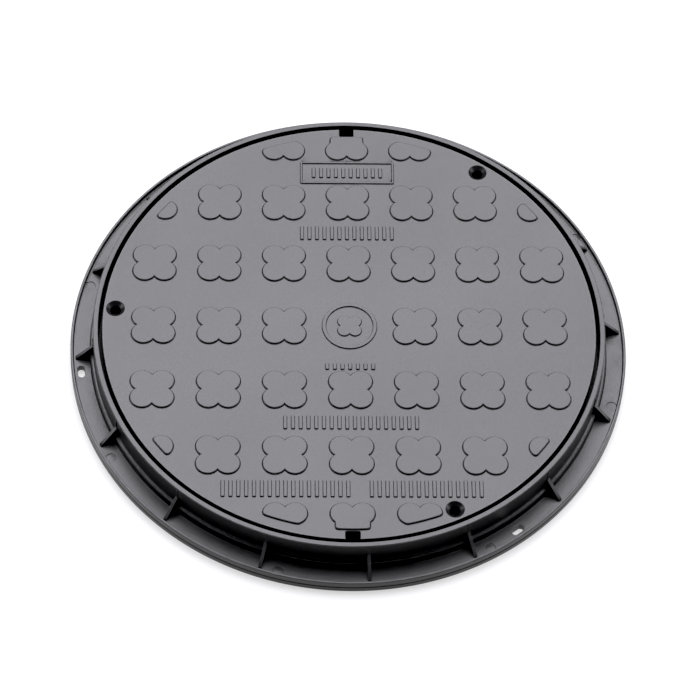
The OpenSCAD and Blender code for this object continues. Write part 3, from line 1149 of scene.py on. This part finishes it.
def frame_ring(sizes):
    """The ring with throat, ledge, rim, step, flange and kerb, with moulded edges."""
    edge, groove = sizes.edge / MM, sizes.kerb_groove / MM
    corners = [
        (THROAT_R, 0, 0.5),
        (THROAT_R + THROAT_T, 0, 0.5),
        (THROAT_R + THROAT_T, LEDGE_Z - 4, 1.0),
        (STEP_UNDER_R, LEDGE_Z - 4, 1.0),
        (STEP_UNDER_R, FLANGE_Z - FLANGE_T, 0.6),
        (FLANGE_R - KERB_T, FLANGE_Z - FLANGE_T, 0.8),
        (FLANGE_R - KERB_T, 0, 0.4),
        (FLANGE_R, 0, 0.4),
        (FLANGE_R, 5.4, 0.2),
        (FLANGE_R - groove, 5.8, 0.2),
        (FLANGE_R - groove, 6.5, 0.2),
        (FLANGE_R - groove * 0.25, 6.9, 0.2),
        (FLANGE_R - 0.15, KERB_Z, 0.9),
        (FLANGE_R - KERB_T, KERB_Z, 0.6),
        (FLANGE_R - KERB_T, FLANGE_Z, 1.0),
        (STEP_R, FLANGE_Z, 1.2),
        (STEP_R, STEP_Z, 1.4),
        (RIM_OUT_R, STEP_Z, 0.8),
        (RIM_OUT_R, RIM_Z, 0.85),
        (RIM_IN_R, RIM_Z, 0.5),
        (RIM_IN_R, LEDGE_Z, 0.7),
        (THROAT_R, LEDGE_Z, edge),
    ]
    return revolved(filleted(corners, 4), 320)


def gusset(sizes):
    """One gusset on the flange, made on the X axis."""
    top, tip = sizes.gusset_height / MM, STEP_R + sizes.gusset_reach / MM
    profile = filleted(
        [
            (RIM_OUT_R - 2, FLANGE_Z - 2, 0),
            (tip, FLANGE_Z - 2, 0),
            (tip, FLANGE_Z + 1, 0.6),
            (RIM_OUT_R + 0.8, top, 0.5),
            (RIM_OUT_R - 2, top, 0),
        ]
    )
    return beam(profile, sizes.gusset_thickness / MM, sizes.edge / MM)


def fine_rib(sizes):
    """The fine upright rib that carries a gusset's line up the rim."""
    top, out = RIM_Z - 2, RIM_OUT_R + 0.8
    low = sizes.gusset_height / MM - 1.5
    profile = filleted(
        [(RIM_OUT_R - 2, low, 0), (out, low, 0), (out, top, 0.7), (RIM_OUT_R - 2, top, 0)]
    )
    return beam(profile, 1.6, 0.35)


def insert_holes():
    """Holes for the threaded inserts, with smaller holes on through the bosses."""
    levels = [
        (SHANK_HOLE_R, -1), (SHANK_HOLE_R, INSERT_LOW[2] - 0.01),
        (INSERT_HOLE_R, INSERT_LOW[2] - 0.01), (INSERT_HOLE_R, LEDGE_Z - 0.3),
        (INSERT_HOLE_R + 0.3, LEDGE_Z), (INSERT_HOLE_R + 0.3, LEDGE_Z + 1),
    ]
    return at_screws(revolved(levels, BOSS_SIDES, closed=False))


def fixing_slot(sizes):
    """What is cut away for one fixing slot, made on the X axis."""
    half_x, half_y = sizes.slot_width / MM / 2, sizes.slot_length / MM / 2
    levels = (
        (-0.3, SLOT_COLLAR_Z - 1), (-0.3, SLOT_COLLAR_Z),
        (0, SLOT_COLLAR_Z + 0.3), (0, FLANGE_Z - 0.5),
        (-0.12, FLANGE_Z - 0.18), (-0.45, FLANGE_Z), (-0.45, FLANGE_Z + 1),
    )
    return prism(half_x, half_y, half_x - 0.01, levels, steps=10)


def slot_collar(sizes):
    """Collar round one fixing slot on the underside of the flange, made on the X axis."""
    half_x = sizes.slot_width / MM / 2 + SLOT_COLLAR_T
    half_y = sizes.slot_length / MM / 2 + SLOT_COLLAR_T
    levels = (0.4, SLOT_COLLAR_Z), (0, SLOT_COLLAR_Z + 0.4), (0, FLANGE_Z - 1)
    return prism(half_x, half_y, half_x - 0.01, levels, steps=10)


def pin_mark():
    """Shallow round mark of an ejector pin, with a domed floor, made at the origin."""
    levels = [
        (0.3, FLANGE_Z - 0.58), (1.6, FLANGE_Z - 0.61), (2.9, FLANGE_Z - 0.67),
        (4.35, FLANGE_Z - 0.8), (4.6, FLANGE_Z - 0.74), (4.7, FLANGE_Z - 0.5),
        (4.8, FLANGE_Z - 0.14), (5.05, FLANGE_Z), (5.05, FLANGE_Z + 1),
    ]
    return revolved(levels, 48, closed=False)


class MESH_OT_access_cover_frame(bpy.types.Operator):
    """Build the ring frame with its gussets, webs, bosses, fixing slots and pin marks"""

    bl_idname = "mesh.access_cover_frame"
    bl_label = "Frame"

    def execute(self, context):
        sizes, finish = context.scene.access_frame_sizes, context.scene.access_finishes
        clear_piece("frame_moulding")
        thickness, edge, low = 3.0, 0.4, 1.0
        inner_ends = THROAT_R + THROAT_T - 1, STEP_UNDER_R + 1
        outer_ends = STEP_UNDER_R + 1.6, FLANGE_R - KERB_T + 1
        inner = web(*inner_ends, low, LEDGE_Z - 1, thickness, edge)
        outer = web(*outer_ends, low, FLANGE_Z - 1, thickness, edge)
        piece = frame_ring(sizes).object("frame_moulding")
        for solid in (gusset(sizes), fine_rib(sizes), inner, outer):
            combine(piece, around(solid, GUSSET_COUNT, GUSSET_START), "UNION")
        combine(piece, bosses(0, LEDGE_Z - 1), "UNION")
        collars = around(slot_collar(sizes), SLOT_COUNT, SLOT_START, SLOT_R)
        combine(piece, collars, "UNION")
        slots = around(fixing_slot(sizes), SLOT_COUNT, SLOT_START, SLOT_R)
        pins = around(pin_mark(), PIN_MARK_COUNT, PIN_MARK_START, PIN_MARK_R)
        combine(piece, insert_holes().joined(slots, pins), "DIFFERENCE")
        # The kerb's top edge gets the painted highlight line, and the sloped gusset tops and the
        # rim step's edge get the painted highlight band between these heights.
        plastic = moulded_plastic(
            "frame_plastic", finish.frame_plastic, finish,
            RIM_Z, RIM_Z - 1.2, RIM_Z - 0.2, FLANGE_R - 0.8, KERB_Z,
            (FLANGE_Z + 1, sizes.gusset_height / MM + 1),
        )
        finished(piece, plastic, "frame", "frame")
        return {"FINISHED"}


# ---- Seal and fixings ----


class MESH_OT_access_cover_seal(bpy.types.Operator):
    """Build the rubber seal: a flat ring with two grooves above and a groove below"""

    bl_idname = "mesh.access_cover_seal"
    bl_label = "Seal"

    def execute(self, context):
        sizes, finish = context.scene.access_fixing_sizes, context.scene.access_finishes
        clear_piece("seal_ring")
        inner, outer = SEAL_HIGH[0] - SEAL_WIDTH, SEAL_HIGH[0]
        low, high, lip = SEAL_LOW[2], SEAL_HIGH[2], sizes.seal_lip / MM
        profile = filleted(
            [
                (inner, low, 0.5),
                (inner + 3.6, low, 0.15), (inner + 4.0, low + lip, 0.2),
                (inner + 5.0, low + lip, 0.2), (inner + 5.4, low, 0.15),
                (outer, low, 0.5), (outer, high, 0.5),
                (outer - 2.0, high, 0.15), (outer - 2.4, high - lip, 0.2),
                (outer - 3.4, high - lip, 0.2), (outer - 3.8, high, 0.15),
                (inner + 3.8, high, 0.15), (inner + 3.4, high - lip, 0.2),
                (inner + 2.4, high - lip, 0.2), (inner + 2.0, high, 0.15),
                (inner, high, 0.5),
            ]
        )
        piece = revolved(profile, 288).object("seal_ring")
        rubber = moulded_rubber("seal_rubber", finish.seal_rubber)
        finished(piece, rubber, "frame", "seal")
        return {"FINISHED"}


def thread_radius(turns, z, low, high, pitch, depth):
    """Radius of a thread's skin at each direction, with the groove fading out at both ends."""
    phase = (z / pitch - turns / (2 * math.pi)) % 1.0
    groove = np.clip(1.25 - np.abs(phase - 0.5) * 4.2, 0, 1)
    fade = min(1.0, max(0.0, (high - z) / 1.2))
    taper = max(0.0, 0.6 - (z - low)) * 0.9
    return THREAD_R - np.maximum(depth * groove * fade, taper)


def screw_solid(sizes):
    """A cap-head screw at the origin: thread, knurled head and six-sided key socket."""
    count = 48
    turns = angles(count)
    low, high = SCREW_LOW[2], SCREW_HIGH[2]
    head_z = WASHER_HIGH[2]
    pitch, depth = sizes.thread_pitch / MM, sizes.thread_depth / MM
    head_r = (SCREW_HIGH[0] - SCREW_LOW[0]) / 2
    loops = []
    thread_top = head_z - 0.4
    for z in np.linspace(low, thread_top, int((thread_top - low) / pitch * 9)):
        radius = thread_radius(turns, z, low, thread_top, pitch, depth)
        loops.append(at_height(circle(radius, count), z))
    knurl = np.where(np.arange(count) % 2 == 0, 0.0, sizes.knurl_depth / MM)
    body = [
        (THREAD_R, head_z, 0), (head_r - 0.45, head_z, 0), (head_r - 0.2, head_z + 0.2, 0),
        (head_r, head_z + 0.5, 1), (head_r, high - 0.95, 1), (head_r - 0.2, high - 0.5, 0.4),
        (head_r - 0.5, high - 0.1, 0), (head_r - 0.8, high, 0),
    ]
    for radius, z, share in body:
        loops.append(at_height(circle(radius - knurl * share, count), z))
    flats = sizes.key_width / MM / 2
    sector = (turns + math.pi / 6) % (math.pi / 3) - math.pi / 6
    for grow, z in ((0.25, high), (0.02, high - 0.25), (0.0, high - 2.3), (-0.2, high - 2.5)):
        loops.append(at_height(circle((flats + grow) / np.cos(sector), count), z))
    return Solid().add(loops)


class MESH_OT_access_cover_screws(bpy.types.Operator):
    """Build the three cap-head screws with their threads and key sockets"""

    bl_idname = "mesh.access_cover_screws"
    bl_label = "Screws"

    def execute(self, context):
        sizes, finish = context.scene.access_fixing_sizes, context.scene.access_finishes
        steel = coated_steel("screw_steel", finish.screw_steel)
        build_at_screws(
            screw_solid(sizes), "cap_screw", steel, "screw", turn=SCREW_TURN
        )
        return {"FINISHED"}


class MESH_OT_access_cover_washers(bpy.types.Operator):
    """Build the three flat washers under the screws' heads"""

    bl_idname = "mesh.access_cover_washers"
    bl_label = "Washers"

    def execute(self, context):
        finish = context.scene.access_finishes
        steel = stainless_steel("washer_steel", finish.washer_steel)
        outer = (WASHER_HIGH[0] - WASHER_LOW[0]) / 2
        low, high = WASHER_LOW[2], WASHER_HIGH[2]
        profile = filleted(
            [
                (WASHER_HOLE_R, low, 0.08), (outer, low, 0.08),
                (outer, high, 0.3), (WASHER_HOLE_R, high, 0.2),
            ]
        )
        washer = revolved(profile, BOSS_SIDES)
        build_at_screws(washer, "flat_washer", steel, "washer")
        return {"FINISHED"}


def insert_solid(sizes):
    """A knurled threaded insert at the origin, with two smooth bands."""
    knurls = sizes.insert_knurls
    count = knurls * 4
    low, high = INSERT_LOW[2], INSERT_HIGH[2]
    outer = (INSERT_HIGH[0] - INSERT_LOW[0]) / 2
    teeth = np.tile([0.0, 0.08, 0.22, 0.08], knurls)
    outside = [
        (outer - 0.35, low, 0), (outer - 0.1, low + 0.3, 0), (outer, low + 0.5, 1),
        (outer, low + 3.6, 1), (outer - 0.3, low + 3.8, 0), (outer - 0.3, low + 4.5, 0),
        (outer, low + 4.7, 1), (outer, high - 1.5, 1), (outer - 0.3, high - 1.3, 0),
        (outer - 0.3, high - 0.8, 0), (outer, high - 0.6, 0), (outer, high - 0.1, 0),
        (outer - 0.1, high, 0),
    ]
    inside = [(2.85, high), (2.56, high - 0.35), (2.56, low + 0.35), (2.85, low)]
    loops = []
    for radius, z, share in outside:
        loops.append(at_height(circle(radius - teeth * share, count), z))
    for radius, z in inside:
        loops.append(at_height(circle(radius, count), z))
    return Solid().add(loops, closed=True)


class MESH_OT_access_cover_inserts(bpy.types.Operator):
    """Build the three knurled brass inserts in the frame's bosses"""

    bl_idname = "mesh.access_cover_inserts"
    bl_label = "Inserts"

    def execute(self, context):
        sizes, finish = context.scene.access_fixing_sizes, context.scene.access_finishes
        brass = turned_brass("insert_brass", finish.insert_brass)
        insert = insert_solid(sizes)
        build_at_screws(insert, "brass_insert", brass, "insert", "frame")
        return {"FINISHED"}


# ---- Stage ----


def softbox(name, middle, size, radiance):
    """A rectangular area light that faces the cover. Radiance is what its face shows."""
    width, depth = size
    light = bpy.data.lights.new(name, "AREA")
    light.shape, light.size, light.size_y = "RECTANGLE", width, depth
    light.energy = radiance * math.pi * width * depth
    light.color = LIGHT_COLOUR
    lamp = bpy.data.objects.new(name, light)
    bpy.context.scene.collection.objects.link(lamp)
    lamp.visible_camera = False
    lamp.location = middle
    aim = Vector(LIGHT_TARGET) - Vector(middle)
    lamp.rotation_euler = aim.to_track_quat("-Z", "Y").to_euler()


class SCENE_OT_access_cover_stage(bpy.types.Operator):
    """Build the pale floor, the soft studio lights, the plain surroundings and the camera"""

    bl_idname = "scene.access_cover_stage"
    bl_label = "Stage"

    def execute(self, context):
        stage, scene = context.scene.access_stage, context.scene
        for name in STUDIO_NAMES:
            clear_piece(name)

        corners = SQUARE * FLOOR_HALF
        floor = Solid().add([at_height(corners, -FLOOR_T), at_height(corners, 0)])
        floor = floor.object("studio_floor")
        floor.data.materials.append(
            studio_floor("studio_floor", stage.floor_colour, stage.floor_glow)
        )

        softbox("key_softbox", KEY_PLACE, KEY_SIZE, stage.key_radiance)
        for name, side in (("left_softbox", -1), ("right_softbox", 1)):
            place = (side * SIDE_REACH, 0.0, SIDE_HEIGHT)
            softbox(name, place, SIDE_SIZE, stage.side_radiance)

        world = bpy.data.worlds.get("studio") or bpy.data.worlds.new("studio")
        world.use_nodes = True
        background = world.node_tree.nodes["Background"]
        background.inputs["Color"].default_value = WORLD_COLOUR
        background.inputs["Strength"].default_value = stage.world_radiance
        scene.world = world
        view = scene.view_settings
        view.view_transform = "Standard"
        view.use_curve_mapping = True
        view.curve_mapping.black_level = (stage.black_point,) * 3

        camera_data = bpy.data.cameras.new("camera")
        camera_data.sensor_width = 36.0
        camera_data.lens = stage.lens
        camera_data.clip_start, camera_data.clip_end = 0.1, 40.0
        camera = bpy.data.objects.new("camera", camera_data)
        scene.collection.objects.link(camera)
        lift, round_z = stage.elevation, stage.azimuth
        level = math.cos(lift)
        back = Vector((math.sin(round_z) * level, -math.cos(round_z) * level, math.sin(lift)))
        right = Vector((0, 0, 1)).cross(back).normalized()
        up = back.cross(right)
        c, s = math.cos(stage.roll), math.sin(stage.roll)
        across, upward = right * c + up * s, up * c - right * s
        turn = Matrix((across, upward, back)).transposed()
        place = Vector(CAMERA_TARGET) + back * stage.distance
        camera.matrix_world = Matrix.Translation(place) @ turn.to_4x4()
        scene.camera = camera
        return {"FINISHED"}


# ---- Sidebar and registration ----

OPERATORS = (
    MESH_OT_access_cover_frame,
    MESH_OT_access_cover_lid,
    MESH_OT_access_cover_seal,
    MESH_OT_access_cover_screws,
    MESH_OT_access_cover_washers,
    MESH_OT_access_cover_inserts,
    SCENE_OT_access_cover_stage,
)


class VIEW3D_PT_access_cover(bpy.types.Panel):
    """Buttons and settings of the access cover"""

    bl_idname = "VIEW3D_PT_access_cover"
    bl_label = "Access Cover"
    bl_space_type = "VIEW_3D"
    bl_region_type = "UI"
    bl_category = "Access Cover"

    def draw(self, context):
        layout = self.layout
        for operator in OPERATORS:
            layout.operator(operator.bl_idname)
        for name, group in GROUPS.items():
            box = layout.box()
            box.label(text=group.__doc__.rstrip("."))
            settings = getattr(context.scene, name)
            for key in group.__annotations__:
                box.prop(settings, key)


CLASSES = (*GROUPS.values(), *OPERATORS, VIEW3D_PT_access_cover)


def register():
    """Registers the classes and puts their settings on the scene."""
    for item in CLASSES:
        bpy.utils.register_class(item)
    for name, group in GROUPS.items():
        setattr(bpy.types.Scene, name, PointerProperty(type=group))


def unregister():
    """Takes the settings off the scene and unregisters the classes."""
    for name in GROUPS:
        delattr(bpy.types.Scene, name)
    for item in reversed(CLASSES):
        bpy.utils.unregister_class(item)


def main():
    register()
    bpy.ops.scene.access_cover_stage()
    bpy.ops.mesh.access_cover_frame()
    bpy.ops.mesh.access_cover_lid()
    bpy.ops.mesh.access_cover_seal()
    bpy.ops.mesh.access_cover_screws()
    bpy.ops.mesh.access_cover_washers()
    bpy.ops.mesh.access_cover_inserts()


if __name__ == "__main__":
    main()
